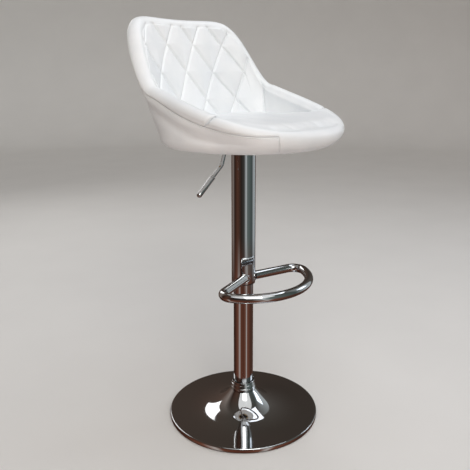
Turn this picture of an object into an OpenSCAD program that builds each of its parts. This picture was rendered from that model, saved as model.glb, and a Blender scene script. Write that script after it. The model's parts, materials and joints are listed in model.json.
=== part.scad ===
// Bar stool with a quilted bucket seat on a chromed gas-lift column.
// Origin: column axis where it meets the floor. +Z up, -Y towards the sitter's knees, millimetres.
// The model is drawn with the gas lift fully extended.

/* [Base] */
// Outside diameter of the trumpet base
base_d = 385; // [340:5:460]
// Height of the base's rim above the floor
base_edge_h = 12; // [8:1:18]
// Height of the base's neck
base_neck_h = 65; // [50:1:90]
// Thickness of the spun sheet
base_sheet = 2; // [1.5:0.1:3]
// Height of the trim collar above the neck
collar_h = 25; // [18:1:40]

/* [Column] */
// Outside diameter of the fixed stand tube
stand_d = 50; // [44:1:60]
// Wall of the stand tube
stand_wall = 2; // [1.5:0.1:3]
// Wall of the sliding cover tube
cover_wall = 1.2; // [1:0.1:2]
// Thickness of the plastic bush between the two tubes
cover_bush_t = 3.7; // [2.5:0.1:5]
// Travel of the gas lift
stroke = 210; // [120:5:260]
// Length of stand tube inside the cover tube at full height
tube_overlap = 92; // [70:1:130]
// Outside diameter of the gas cylinder
gas_d = 28; // [24:1:30]
// Wall of the gas cylinder
gas_wall = 1.5; // [1.2:0.1:2.5]
// Diameter of the piston rod
rod_d = 10; // [8:0.5:12]

/* [Footrest] */
// Diameter of the footrest tube
foot_tube_d = 22; // [18:1:26]
// Reach of the footrest in front of the column axis, to the tube's centre
foot_reach = 168; // [140:1:200]
// Half width of the footrest, to the tube's centre
foot_half_w = 139; // [110:1:170]
// Bend radius of the footrest's corners, to the tube's centre
foot_bend = 27; // [20:1:38]
// Forward angle of the footrest's arms
foot_arm_angle = 16; // [10:0.2:28]
// Height of the footrest above the lower end of the cover tube
foot_rise = 15.5; // [14:0.5:60]

/* [Seat] */
// Half width of the seat at the middle of its rolled rim
rim_half_w = 203; // [180:1:220]
// Distance from the column axis to the middle of the front roll
rim_front = 210; // [195:1:230]
// Distance from the column axis to the middle of the back's top roll
rim_back = 229.5; // [215:0.5:255]
// Radius of the padded rim roll
roll_r = 18; // [15:0.5:21]
// Height of the backrest's top roll above the underside of the seat
back_rise = 296; // [230:1:340]
// Height of the front roll above the underside of the seat
front_rise = 34; // [30:1:48]
// Half width of the seat at its widest line
waist_half_w = 211.5; // [195:0.5:240]
// Reach of the widest line in front
waist_front = 223; // [200:1:240]
// Reach of the widest line behind
waist_back = 149.5; // [145:0.5:180]
// Height of the widest line above the underside of the seat
waist_rise = 27; // [24:1:36]
// Height of the cushion's crown above the underside of the seat
crown_rise = 66; // [62:0.5:80]
// Thickness of the padded outer cover
cover_t = 4; // [3:0.5:6]
// Thickness of the moulded seat shell
shell_t = 8; // [6:0.5:9]
// Diameter of the plywood seat board
board_d = 200; // [190:1:206]

/* [Mechanism] */
// Side of the square seat plate
plate_side = 140; // [130:1:142]
// Hole spacing of the seat plate
bolt_spacing = 120; // [100:1:122]
// Diameter of the release lever's rod
lever_d = 9; // [7:0.5:10]
// Diameter of the lever's grip
grip_d = 12.5; // [11:0.5:16]

/* [Hidden] */

$fn = 64;
eps = 0.01;                  // makes a cut run past a face
gap = 0.4;                   // space left between padded layers
run = 0.06;                  // radial clearance of a running fit

// ---- heights, built up from the floor ----
base_r = base_d / 2;
stand_r = stand_d / 2;
stand_bore = stand_r - stand_wall;
neck_r = stand_r + 7;                          // radius of the base's neck
collar_top = base_neck_h + collar_h;
cover_low_gap = 60;                            // cover tube above the collar at the lowest seat
cover_bottom = collar_top + cover_low_gap + stroke;
stand_foot = 8;                                // lower end of the stand tube
stand_top = cover_bottom + tube_overlap;
bush_lip = 3;                                  // height of the guide bush's lip
top_clearance = 29.5;                            // stand tube below the housing at the lowest seat
housing_h = 14;                                // depth of the lever mechanism's housing
housing_bottom = stand_top + bush_lip + top_clearance + stroke;
seat_z = housing_bottom + housing_h;           // underside of the seat
cover_top = housing_bottom - 0.5;
bush_bore = stand_r + run;
cover_bore = bush_bore + cover_bush_t;
cover_r = cover_bore + cover_wall;

// ---- seat heights ----
front_z = seat_z + front_rise;
back_z = seat_z + back_rise;
waist_z = seat_z + waist_rise;
crown_z = seat_z + crown_rise;
board_z = seat_z + cover_t + gap;              // underside of the seat board
board_t = 12;
plate_t = 3;
plate_z = board_z - plate_t;
nut_flange_t = 1.6;
cushion_z = board_z + board_t + nut_flange_t + 0.5;

// =====================================================================
// Base
// =====================================================================

sheet_steps = 18;            // straight steps along the trumpet's curve
// Height of the trumpet's upper surface at radius r: a fourth-power flare.
function flare_z(r) =
    base_edge_h + (base_neck_h - base_edge_h) * pow((base_r - r) / (base_r - neck_r), 4);
function flare_r(i) = base_r - (base_r - neck_r) * i / sheet_steps;
floor_ring_h = 6;
floor_ring_w = 7;            // radial width of the floor ring
weight_z = 3.5;              // underside of the weight and the flange
flange_r = 55;
flange_t = 4.5;

module base_shell() color("silver") rotate_extrude($fn = 128) polygon(concat(
    [[base_r, 2]],
    [for (i = [0:sheet_steps]) [flare_r(i), flare_z(flare_r(i))]],
    [for (i = [sheet_steps:-1:0])
        [min(flare_r(i), base_r - base_sheet), flare_z(flare_r(i)) - base_sheet * 1.2]],
    [[base_r - base_sheet, 2]]
));

module floor_ring() color("black") rotate_extrude($fn = 128)
    translate([base_r - base_sheet - floor_ring_w - 0.2, 0]) square([floor_ring_w, floor_ring_h]);

// Cast counterweight that fills the trumpet; a recess under it takes the column's flange.
module base_weight() color("dimgray") rotate_extrude($fn = 128) polygon(concat(
    [[flange_r + 0.5, weight_z], [base_r - base_sheet - floor_ring_w - 1, weight_z]],
    [for (i = [1:sheet_steps - 1]) if (flare_r(i) < base_r - base_sheet - floor_ring_w - 1)
        [flare_r(i), flare_z(flare_r(i)) - base_sheet * 1.2 - 0.5]],
    [[stand_r + 0.3, flare_z(flare_r(sheet_steps - 1)) - base_sheet * 1.2 - 0.5],
     [stand_r + 0.3, weight_z + flange_t + 0.3],
     [flange_r + 0.5, weight_z + flange_t + 0.3]]
));

screw_circle_r = 42;
screw_r = 2.5;
module around(count, r) for (i = [0:count - 1]) rotate(i * 360 / count + 45) translate([r, 0, 0]) children();

module column_flange() color("gray") difference() {
    translate([0, 0, weight_z]) cylinder(r = flange_r, h = flange_t);
    translate([0, 0, weight_z - eps]) cylinder(r = rod_d / 2 + 4, h = flange_t + 1);
    around(4, screw_circle_r) translate([0, 0, weight_z - eps]) cylinder(r = screw_r + 0.3, h = flange_t + 1, $fn = 24);
}

// Countersunk-depth pan screws; their heads stay above the floor.
module base_screws() color("gray") around(4, screw_circle_r) translate([0, 0, weight_z]) {
    translate([0, 0, -2.4]) cylinder(r = 4.5, h = 2.4, $fn = 24);
    cylinder(r = screw_r, h = flange_t + 0.3, $fn = 24);
}

collar_t = 4.4;              // wall of the collar at its top
module collar_trim() color("silver") rotate_extrude() polygon([
    [stand_r + 0.3, base_neck_h], [neck_r + 0.3, base_neck_h], [neck_r + 0.3, base_neck_h + 9],
    [neck_r - 1, base_neck_h + 10.5], [neck_r - 1.6, base_neck_h + 18], [neck_r - 2.6, base_neck_h + 19.5],
    [neck_r - 2.6, collar_top - 1.2], [neck_r - 3.4, collar_top],
    [stand_r + 2, collar_top], [stand_r + 2, collar_top - 4], [stand_r + 0.3, collar_top - 4]
]);

module collar_seal() color("black") translate([0, 0, collar_top - 4 + 0.05]) difference() {
    cylinder(r = stand_r + 1.95, h = 3.4);
    translate([0, 0, -eps]) cylinder(r = stand_r + 0.02, h = 4);
}

// =====================================================================
// Column and gas lift
// =====================================================================

gas_r = gas_d / 2;
gas_bore = gas_r - gas_wall;
rod_r = rod_d / 2;
guide_h = 50;                // length of the guide bush
end_plate_z = 14;
end_plate_t = 6;
race_t = 1.5;
ball_r = 2;
ball_circle_r = 11;
shoulder_z = end_plate_z + end_plate_t + 2 * race_t + 2 * ball_r + 0.1;
shoulder_h = 3;
cylinder_low_gap = 28;       // cylinder above the rod's shoulder at the lowest seat
cylinder_bottom = shoulder_z + shoulder_h + cylinder_low_gap + stroke;
cylinder_top = housing_bottom + 7.5;
end_guide_h = 12;
piston_z = cylinder_bottom + end_guide_h + 5;
piston_h = 15;

module tube(r_out, r_in, z0, z1) difference() {
    translate([0, 0, z0]) cylinder(r = r_out, h = z1 - z0);
    translate([0, 0, z0 - 1]) cylinder(r = r_in, h = z1 - z0 + 2);
}

module stand_tube() color("silver") tube(stand_r, stand_bore, stand_foot, stand_top);

module guide_bush() color("black") difference() {
    union() {
        translate([0, 0, stand_top - guide_h]) cylinder(r = stand_bore - 0.03, h = guide_h);
        translate([0, 0, stand_top]) cylinder(r = stand_r - 0.5, h = bush_lip);
    }
    translate([0, 0, stand_top - guide_h - 1]) cylinder(r = gas_r + run, h = guide_h + bush_lip + 2);
}

module tube_end_plate() color("gray") tube(stand_bore - 0.03, rod_r + 0.1, end_plate_z, end_plate_z + end_plate_t);

module lower_race() color("gray")
    tube(ball_circle_r + 4, rod_r + 1, end_plate_z + end_plate_t, end_plate_z + end_plate_t + race_t);

module bearing_balls() color("lightgray") around(12, ball_circle_r)
    translate([0, 0, end_plate_z + end_plate_t + race_t + ball_r]) sphere(r = ball_r, $fn = 24);

module upper_race() color("gray") tube(ball_circle_r + 4, rod_r + 0.02, shoulder_z - race_t, shoulder_z);

module rod_clip() color("gray") tube(rod_r + 3, rod_r - 0.8 + 0.02, end_plate_z - 2.4, end_plate_z - 1);

module piston_rod() color("silver") difference() {
    union() {
        translate([0, 0, end_plate_z - 5]) cylinder(r = rod_r, h = piston_z - end_plate_z + 5);
        translate([0, 0, shoulder_z]) cylinder(r = rod_r + 4, h = shoulder_h);
    }
    tube(rod_r + 1, rod_r - 0.8, end_plate_z - 2.6, end_plate_z - 0.8);
}

seal_h = 4;
seal_depth = 2.2;
module piston() color("gray") difference() {
    translate([0, 0, piston_z]) cylinder(r = gas_bore - 0.08, h = piston_h);
    tube(gas_bore + 1, gas_bore - seal_depth, piston_z + 6, piston_z + 6 + seal_h);
}

module piston_seal() color("black")
    tube(gas_bore - 0.04, gas_bore - seal_depth + 0.05, piston_z + 6.05, piston_z + 6 + seal_h - 0.05);

button_r = 4;
valve_depth = 9;
module gas_cylinder() color("dimgray") difference() {
    translate([0, 0, cylinder_bottom]) cylinder(r = gas_r, h = cylinder_top - cylinder_bottom);
    translate([0, 0, cylinder_bottom - 1]) cylinder(r = gas_bore, h = cylinder_top - cylinder_bottom - 14);
    translate([0, 0, cylinder_top - valve_depth]) cylinder(r = button_r + run, h = valve_depth + 1);
}

module cylinder_end_guide() color("black")
    tube(gas_bore - 0.03, rod_r + run, cylinder_bottom + 1, cylinder_bottom + 1 + end_guide_h);

module cover_tube() color("silver") tube(cover_r, cover_bore, cover_bottom, cover_top);

cover_bush_h = 40;
module cover_bush() color("black") {
    tube(cover_bore - 0.03, bush_bore, cover_bottom, cover_bottom + cover_bush_h);
    tube(cover_r - 0.4, bush_bore, cover_bottom - 2, cover_bottom);
}

// =====================================================================
// Footrest: two arms, two corner bends and a broad front bend, all tangent
// =====================================================================

foot_z = cover_bottom + foot_rise;
foot_r = foot_tube_d / 2;
// The arm's centre line crosses x = 0 in front of the column axis and runs out and forward.
arm_y0 = -14.5;
corner_x = foot_half_w - foot_bend;
corner_y = arm_y0 - corner_x * tan(foot_arm_angle) - foot_bend / cos(foot_arm_angle);
// Front bend's radius, so that it is tangent to the corner bends and reaches foot_reach.
front_r = (corner_x * corner_x + pow(foot_reach + corner_y, 2) - foot_bend * foot_bend)
    / (2 * (foot_reach + corner_y - foot_bend));
front_y = front_r - foot_reach;
// Direction from the front bend's centre to the corner's centre, from -Y towards +X.
front_half_angle = atan2(corner_x, front_y - corner_y);

// Centre line of the right half as [x, y, heading], heading being the direction of travel.
arm_end = [corner_x + foot_bend * sin(foot_arm_angle), corner_y + foot_bend * cos(foot_arm_angle)];
arm_root = 10;               // the arm starts inside the cover tube and is cut to its surface
function on_bend(cx, cy, r, a) = [cx + r * cos(a), cy + r * sin(a), a - 90];
half_path = concat(
    [[arm_root * cos(foot_arm_angle), arm_y0 - arm_root * sin(foot_arm_angle), -foot_arm_angle]],
    [for (a = [90 - foot_arm_angle:-(180 - foot_arm_angle - front_half_angle) / 12:front_half_angle - 89.9])
        on_bend(corner_x, corner_y, foot_bend, a)],
    [for (i = [0:8]) on_bend(0, front_y, front_r, -90 + front_half_angle * (1 - i / 8))]);
half_count = len(half_path);
foot_path = concat(half_path,
    [for (i = [half_count - 2:-1:0]) [-half_path[i][0], half_path[i][1], 360 - half_path[i][2]]]);
foot_sides = 20;

module footrest() color("silver") difference() {
    loft_rings([for (p = foot_path) [for (k = [0:foot_sides - 1])
        let (c = foot_r * cos(k * 360 / foot_sides), up = foot_r * sin(k * 360 / foot_sides))
        [p[0] - c * sin(p[2]), p[1] + c * cos(p[2]), foot_z + up]]]);
    translate([0, 0, foot_z - 50]) cylinder(r = cover_r + 0.02, h = 100);
}

// Solid swept through a row of closed outlines, capped at both ends.
module loft_rings(rings) {
    n = len(rings);
    m = len(rings[0]);
    sides = [for (i = [0:n - 2]) for (j = [0:m - 1])
        let (a = i * m + j, b = i * m + (j + 1) % m, c = (i + 1) * m + (j + 1) % m, d = (i + 1) * m + j)
        each [[a, b, c], [a, c, d]]];
    polyhedron(points = [for (ring = rings) each ring],
        faces = concat(sides, [[for (j = [m - 1:-1:0]) j], [for (j = [0:m - 1]) (n - 1) * m + j]]), convexity = 8);
}

// =====================================================================
// Release mechanism under the seat
// =====================================================================

housing_x = 48;              // half length of the housing
housing_y = 28;              // half width of the housing
housing_wall = 2.5;
socket_r = 20;
socket_drop = 20;            // length of the socket below the housing
pivot_x = -38;
pivot_z = housing_bottom + 8.2;
hub_r = 5.2;                 // radius of the lever's hub
pin_r = 2.5;
lever_r = lever_d / 2;

module taper_socket() color("dimgray")
    tube(socket_r, gas_r + 0.03, housing_bottom - socket_drop, cylinder_top);

module mechanism_housing() color("dimgray") difference() {
    translate([-housing_x, -housing_y, housing_bottom])
        cube([2 * housing_x, 2 * housing_y, plate_z - housing_bottom]);
    translate([-housing_x + housing_wall, -housing_y + housing_wall, housing_bottom + housing_wall])
        cube([2 * (housing_x - housing_wall), 2 * (housing_y - housing_wall), housing_h + 5]);
    translate([0, 0, housing_bottom - 1]) cylinder(r = socket_r + 0.05, h = housing_wall + 2);
    // lever slot
    translate([-housing_x - 1, -lever_r - 2, pivot_z - lever_r - 1])
        cube([housing_wall + 2, 2 * lever_r + 4, 2 * lever_r + 2.5]);
    // pivot holes
    translate([pivot_x, -housing_y - 1, pivot_z]) rotate([-90, 0, 0])
        cylinder(r = pin_r + 0.02, h = 2 * housing_y + 2, $fn = 32);
}

module lever_pin() color("silver") translate([pivot_x, -housing_y - 1.5, pivot_z])
    rotate([-90, 0, 0]) cylinder(r = pin_r, h = 2 * housing_y + 3, $fn = 32);

tongue_t = 2;
tongue_z = plate_z - 0.8 - tongue_t;           // underside of the lever's tongue
button_z = cylinder_top - valve_depth + 4.2;
module release_button() color("silver") translate([0, 0, button_z])
    cylinder(r = button_r, h = tongue_z - 0.1 - button_z, $fn = 32);

// Points of the lever's rod: pivot, end of the level stretch, knee, tip.
lever_path = [[pivot_x, 0, pivot_z], [-64.5, 0, pivot_z - 1.6], [-75.5, 0, pivot_z - 34.4], [-150, 0, pivot_z - 96]];
grip_share = 0.6;            // share of the last stretch that the grip covers

module rod_between(a, b, r) {
    d = b - a;
    len = norm(d);
    translate(a) rotate([0, acos(d[2] / len), atan2(d[1], d[0])]) cylinder(r = r, h = len, $fn = 32);
}

grip_len = grip_share * norm(lever_path[2] - lever_path[3]);
module release_lever() color("silver") difference() {
    union() {
        rod_between(lever_path[0], lever_path[1], lever_r);
        translate(lever_path[1]) sphere(r = lever_r, $fn = 32);
        rod_between(lever_path[1], lever_path[2], lever_r);
        translate(lever_path[2]) sphere(r = lever_r, $fn = 32);
        rod_between(lever_path[2], lever_path[3], lever_r);
        // hub on the pivot pin
        translate([pivot_x, -9, pivot_z]) rotate([-90, 0, 0]) cylinder(r = hub_r, h = 18, $fn = 40);
        // upright and tongue that reaches over the release button
        translate([pivot_x + 3, -5, pivot_z]) cube([13, 10, 4]);
        translate([pivot_x + 11, -5, pivot_z]) cube([5, 10, tongue_z + tongue_t - pivot_z]);
        translate([pivot_x + 11, -5, tongue_z]) cube([-pivot_x - 11 + 5, 10, tongue_t]);
    }
    translate([pivot_x, -15, pivot_z]) rotate([-90, 0, 0]) cylinder(r = pin_r + run, h = 30, $fn = 32);
}

// Sleeve with a round end; it is drawn along +Z from its open mouth and turned onto the rod.
module lever_grip() color("silver") {
    d = lever_path[3] - lever_path[2];
    bore = lever_r + 0.02;
    mouth = grip_d / 2;
    translate(lever_path[3] - d * grip_share) rotate([0, acos(d[2] / norm(d)), atan2(d[1], d[0])])
        rotate_extrude($fn = 40) polygon(concat(
            [[bore, 0], [mouth - 0.8, 0], [mouth, 0.8], [mouth, grip_len]],
            [for (a = [15:15:75]) [mouth * cos(a), grip_len + mouth * sin(a)]],
            [[0, grip_len + mouth], [0, grip_len + 0.05], [bore, grip_len + 0.05]]));
}

// =====================================================================
// Seat hardware
// =====================================================================

module at_bolts() for (x = [-1, 1], y = [-1, 1])
    translate([x * bolt_spacing / 2, y * bolt_spacing / 2, 0]) children();
bolt_r = 3;
washer_t = 1.2;

module seat_plate() color("dimgray") difference() {
    intersection() {
        translate([-plate_side / 2, -plate_side / 2, plate_z]) cube([plate_side, plate_side, plate_t]);
        translate([0, 0, plate_z]) cylinder(r = board_d / 2 - 4, h = plate_t);
    }
    translate([0, 0, plate_z - 1]) at_bolts() cylinder(r = bolt_r + 0.3, h = plate_t + 2, $fn = 32);
}

module plate_washers() color("gray") translate([0, 0, plate_z - washer_t]) at_bolts() difference() {
    cylinder(r = 7, h = washer_t, $fn = 32);
    translate([0, 0, -1]) cylinder(r = bolt_r + 0.2, h = washer_t + 2, $fn = 32);
}

module plate_bolts() color("gray") translate([0, 0, plate_z - washer_t]) at_bolts() {
    cylinder(r = bolt_r, h = plate_t + washer_t + board_t, $fn = 32);
    translate([0, 0, -4]) cylinder(r = 5.8, h = 4, $fn = 6);
}

module t_nuts() color("gray") translate([0, 0, board_z]) at_bolts() difference() {
    union() {
        translate([0, 0, 2]) cylinder(r = bolt_r + 1.4, h = board_t - 2, $fn = 32);
        translate([0, 0, board_t]) cylinder(r = 8, h = nut_flange_t, $fn = 32);
    }
    translate([0, 0, 1]) cylinder(r = bolt_r + 0.02, h = board_t + 2, $fn = 32);
}

module seat_board() color("burlywood") difference() {
    translate([0, 0, board_z]) cylinder(r = board_d / 2, h = board_t);
    translate([0, 0, board_z - 1]) at_bolts() cylinder(r = bolt_r + 1.42, h = board_t + 2, $fn = 32);
}

// =====================================================================
// Bucket: every layer is drawn from the same outline, direction by direction.
// t is the direction from the column axis, 0 at the front and 180 behind.
// =====================================================================

// Radius of an oval whose corners are squarer as n grows.
function oval_r(t, half_w, front, back, n_front, n_back) =
    let (n = cos(t) >= 0 ? n_front : n_back, depth = cos(t) >= 0 ? front : back)
    pow(pow(abs(sin(t)) / half_w, n) + pow(abs(cos(t)) / depth, n), -1 / n);

function rim_r(t) = oval_r(t, rim_half_w, rim_front, rim_back, 2.6, 3.9);
function waist_r(t) = oval_r(t, waist_half_w, waist_front, waist_back, 1.9, 2.53);

arm_slope = 0.305;             // rise of the arms towards the back
sweep_start = 75.5;            // where the arms start to sweep up into the back
sweep_end = rim_back + 10.5;    // where the sweep would level out
back_dip = 9;                // dip in the middle of the back's top edge
dip_half_w = 150;
function smooth(s) = s * s * (3 - 2 * s);
function sweep(y) = smooth(min(1, max(0, (y - sweep_start) / (sweep_end - sweep_start))));
function back_top_z(x) = back_z - back_dip * (1 - min(1, pow(x / dip_half_w, 2)));
function arm_z(y) = front_z + arm_slope * (min(y, sweep_start) + rim_front);
function rim_z(t) =
    let (x = rim_r(t) * sin(t), y = -rim_r(t) * cos(t), z = arm_z(y))
    z + (back_top_z(x) - z) * sweep(y) / sweep(rim_back);

// The bucket's outer wall leans from the waist line out to the rim roll.
function lean(t) = (rim_r(t) + roll_r - waist_r(t)) / (rim_z(t) - waist_z);
// The inset is measured across the wall; where the wall is short and flat it is held near level.
function wall_r(t, z, inset) =
    waist_r(t) + lean(t) * (z - waist_z) - inset * sqrt(1 + pow(min(lean(t), 0.7), 2));
// Rounded lower edge, a = 0 underneath and 90 at the waist line.
under_round = 40;
function under_pt(t, a, inset) = [
    waist_r(t) - under_round + (under_round - inset) * sin(a),
    waist_z - (waist_z - seat_z - inset) * cos(a)
];
// Height where the wall's layers end and the rim roll sits on them.
roll_drop = 14;
function edge_z(t) = max(rim_z(t) - roll_drop, waist_z + 1.5);
roll_gap = 3;                // space under the rim roll

arm_start = 70;              // direction where the front roll meets the arm's roll
split = 0.2;                 // half of the joint between the two rolls, in degrees
function arc_turn(a, b, n) = [for (i = [0:n]) a + (b - a) * i / n];
front_turn = arc_turn(split - arm_start, arm_start - split, 20);
arm_turn = arc_turn(arm_start + split, 360 - arm_start - split, 42);
full_turn = concat(front_turn, arm_turn);
round_steps = [0, 22.5, 45, 67.5, 90];

function place(t, p) = [p[0] * sin(t), -p[0] * cos(t), p[1]];

// Solid swept through closed outlines; it is a ring, or is capped at its two ends.
module loft(dirs, outlines, ring) {
    n = len(dirs);
    m = len(outlines[0]);
    pts = [for (i = [0:n - 1]) for (p = outlines[i]) place(dirs[i], p)];
    last = ring ? n - 1 : n - 2;
    // Each patch is split along its rising diagonal, so that neighbouring layers stay parallel.
    sides = [for (i = [0:last]) for (j = [0:m - 1])
        let (a = i * m + j, b = i * m + (j + 1) % m, c = ((i + 1) % n) * m + (j + 1) % m, d = ((i + 1) % n) * m + j)
        each outlines[i][(j + 1) % m][1] >= outlines[i][j][1]
            ? [[a, b, c], [a, c, d]] : [[a, b, d], [b, c, d]]];
    caps = ring ? [] : [[for (j = [m - 1:-1:0]) j], [for (j = [0:m - 1]) (n - 1) * m + j]];
    polyhedron(points = pts, faces = concat(sides, caps), convexity = 6);
}

// Solid swept through open outlines that run from a point under the axis to one above it.
module lofted_pad(dirs, outlines, low_z, high_z) {
    n = len(dirs);
    m = len(outlines[0]);
    pts = concat([for (i = [0:n - 1]) for (p = outlines[i]) place(dirs[i], p)], [[0, 0, low_z], [0, 0, high_z]]);
    sides = [for (i = [0:n - 1]) for (j = [0:m - 2])
        let (k = (i + 1) % n, a = i * m + j, b = i * m + j + 1, c = k * m + j + 1, d = k * m + j)
        each [[a, b, c], [a, c, d]]];
    ends = [for (i = [0:n - 1]) let (k = (i + 1) % n)
        each [[n * m, i * m, k * m], [n * m + 1, k * m + m - 1, i * m + m - 1]]];
    polyhedron(points = pts, faces = concat(sides, ends), convexity = 6);
}

pad_low_z = seat_z + 57;     // lower edge of the quilted back pad
function is_front(t) = cos(t) > cos(arm_start);
// The wall's layers all turn at one height, so that their faces stay parallel.
function mid_z(t) = is_front(t) ? (waist_z + edge_z(t)) / 2 : pad_low_z;

// Closed outline of a wall layer between two insets, from its inner edge underneath to its top edge.
function layer(t, near, far, inner_r) = concat(
    [[inner_r, seat_z + near]],
    [for (a = round_steps) under_pt(t, a, near)],
    [for (z = [mid_z(t), edge_z(t)]) [wall_r(t, z, near), z]],
    [for (z = [edge_z(t), mid_z(t)]) [wall_r(t, z, far), z]],
    [for (i = [4:-1:0]) under_pt(t, round_steps[i], far)],
    [[inner_r, seat_z + far]]);

shell_near = cover_t + gap;
shell_far = shell_near + shell_t;
pad_near = shell_far + 2 * gap;

module outer_cover() color("white")
    loft(full_turn, [for (t = full_turn) layer(t, 0, cover_t, board_d / 2 - 1.5)], true);

module seat_shell() color("wheat")
    loft(full_turn, [for (t = full_turn) layer(t, shell_near, shell_far, board_d / 2 + gap)], true);

// Rolled rim of the arms and back, flat underneath where it sits on the wall's edge.
function roll_outline(t) = let (z = edge_z(t) + roll_gap) concat(
    [[wall_r(t, z, 0), z]],
    [for (a = [0:30:180]) [rim_r(t) + roll_r * cos(a), rim_z(t) + roll_r * sin(a)]],
    [[wall_r(t, z, 2 * roll_r), z]]);

module rim_bolster() color("white")
    loft(arm_turn, [for (t = arm_turn) roll_outline(t)], false);

function pad_outline(t) = [
    [wall_r(t, pad_low_z, pad_near), pad_low_z], [wall_r(t, edge_z(t), pad_near), edge_z(t)],
    [wall_r(t, edge_z(t), 2 * roll_r), edge_z(t)],
    [wall_r(t, (edge_z(t) + pad_low_z) / 2, 1.9 * roll_r), (edge_z(t) + pad_low_z) / 2],
    [wall_r(t, pad_low_z, 1.6 * roll_r), pad_low_z]];

module back_pad() color("white")
    loft(arm_turn, [for (t = arm_turn) pad_outline(t)], false);

// Cushion: rolls over the front edge between the arms, and stops inside the wall elsewhere.
cushion_side = [for (k = [0:5]) waist_z + 1 + (pad_low_z - roll_gap - waist_z - 1) * k / 5];
function front_edge(t) = concat(
    [for (inset = [pad_near + 4, 0]) [wall_r(t, edge_z(t) + roll_gap, inset), edge_z(t) + roll_gap]],
    [for (a = [0, 35, 70, 105]) [rim_r(t) + roll_r * cos(a), rim_z(t) + roll_r * sin(a)]]);
// End of the front roll, drawn inside the wall so that the cushion's step clears the wall's edge.
function roll_end(t) = [for (p = front_edge(t)) [min(p[0], wall_r(t, p[1], pad_near)), p[1]]];
function side_edge(t) = [for (z = cushion_side) [wall_r(t, z, pad_near), z]];
roll_stop = arm_start - split / 2;
// Where the flat crown begins: behind the front roll, or inside the back pad.
function crown_r(t) = is_front(t) ? rim_r(t) - 0.7 * roll_r : wall_r(t, pad_low_z, 1.6 * roll_r) - gap;
function cushion_outline(t, edge) =
    let (last = edge[5], inner = crown_r(t))
    concat(
        [[under_pt(t, 50, pad_near + 3)[0], cushion_z]], edge,
        [for (s = [1, 0.85, 0.65, 0.4, 0.2])
            [inner * s, last[1] + (crown_z - last[1]) * (1 - pow(s, 2.4))]]);

module seat_cushion() color("white")
    lofted_pad(
        concat([-roll_stop], front_turn, [roll_stop], arm_turn),
        concat(
            [cushion_outline(-roll_stop, roll_end(-roll_stop))],
            [for (t = front_turn) cushion_outline(t, front_edge(t))],
            [cushion_outline(roll_stop, roll_end(roll_stop))],
            [for (t = arm_turn) cushion_outline(t, side_edge(t))]),
        cushion_z, crown_z);

floor_ring();
base_weight();
base_shell();
column_flange();
base_screws();
collar_trim();
collar_seal();
stand_tube();
guide_bush();
tube_end_plate();
lower_race();
bearing_balls();
upper_race();
rod_clip();
piston_rod();
piston();
piston_seal();
gas_cylinder();
cylinder_end_guide();
cover_tube();
cover_bush();
footrest();
taper_socket();
mechanism_housing();
lever_pin();
release_button();
release_lever();
lever_grip();
seat_plate();
plate_bolts();
plate_washers();
t_nuts();
seat_board();
seat_shell();
outer_cover();
seat_cushion();
back_pad();
rim_bolster();
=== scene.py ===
"""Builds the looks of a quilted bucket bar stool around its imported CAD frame."""
import json
import math

import bmesh
import bpy
import numpy as np
from bpy.props import FloatProperty, FloatVectorProperty, PointerProperty
from mathutils import Matrix, Vector
from mathutils.bvhtree import BVHTree

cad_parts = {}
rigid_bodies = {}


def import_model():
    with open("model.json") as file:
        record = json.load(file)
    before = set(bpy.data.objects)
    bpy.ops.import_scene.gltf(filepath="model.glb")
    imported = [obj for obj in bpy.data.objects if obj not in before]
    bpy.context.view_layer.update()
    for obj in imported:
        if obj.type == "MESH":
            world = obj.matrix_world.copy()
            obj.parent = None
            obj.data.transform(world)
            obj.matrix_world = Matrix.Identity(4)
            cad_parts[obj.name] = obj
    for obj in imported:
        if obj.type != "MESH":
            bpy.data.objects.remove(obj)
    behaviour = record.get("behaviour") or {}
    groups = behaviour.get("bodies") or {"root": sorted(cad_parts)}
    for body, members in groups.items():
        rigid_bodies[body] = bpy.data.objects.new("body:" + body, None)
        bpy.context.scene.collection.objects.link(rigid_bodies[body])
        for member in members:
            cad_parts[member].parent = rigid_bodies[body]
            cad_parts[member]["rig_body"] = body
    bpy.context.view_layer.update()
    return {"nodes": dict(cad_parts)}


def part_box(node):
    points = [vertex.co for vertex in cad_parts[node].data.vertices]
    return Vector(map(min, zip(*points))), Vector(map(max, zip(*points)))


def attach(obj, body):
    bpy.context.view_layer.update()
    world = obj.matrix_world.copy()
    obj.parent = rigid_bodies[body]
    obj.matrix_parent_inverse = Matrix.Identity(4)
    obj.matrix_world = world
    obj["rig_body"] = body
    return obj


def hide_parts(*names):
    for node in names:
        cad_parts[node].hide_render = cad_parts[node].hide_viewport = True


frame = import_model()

bl_info = {
    "name": "Quilted bar stool",
    "version": (1, 0, 0),
    "blender": (4, 5, 0),
    "location": "View3D > Sidebar > Bar stool",
    "description": "Upholstery, chromed metalwork and studio for a gas-lift bar stool",
    "category": "Object",
}

MM = 0.001


def linear(hex_colour):
    """sRGB hex to linear RGB."""
    parts = [int(hex_colour[i:i + 2], 16) / 255 for i in (0, 2, 4)]
    return tuple(c / 12.92 if c <= 0.04045 else ((c + 0.055) / 1.055) ** 2.4 for c in parts)


# ---------------------------------------------------------------------------
# The bucket's outline, in millimetres. t is the direction from the column axis,
# 0 at the front and 180 behind, in radians here.
# ---------------------------------------------------------------------------

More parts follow.
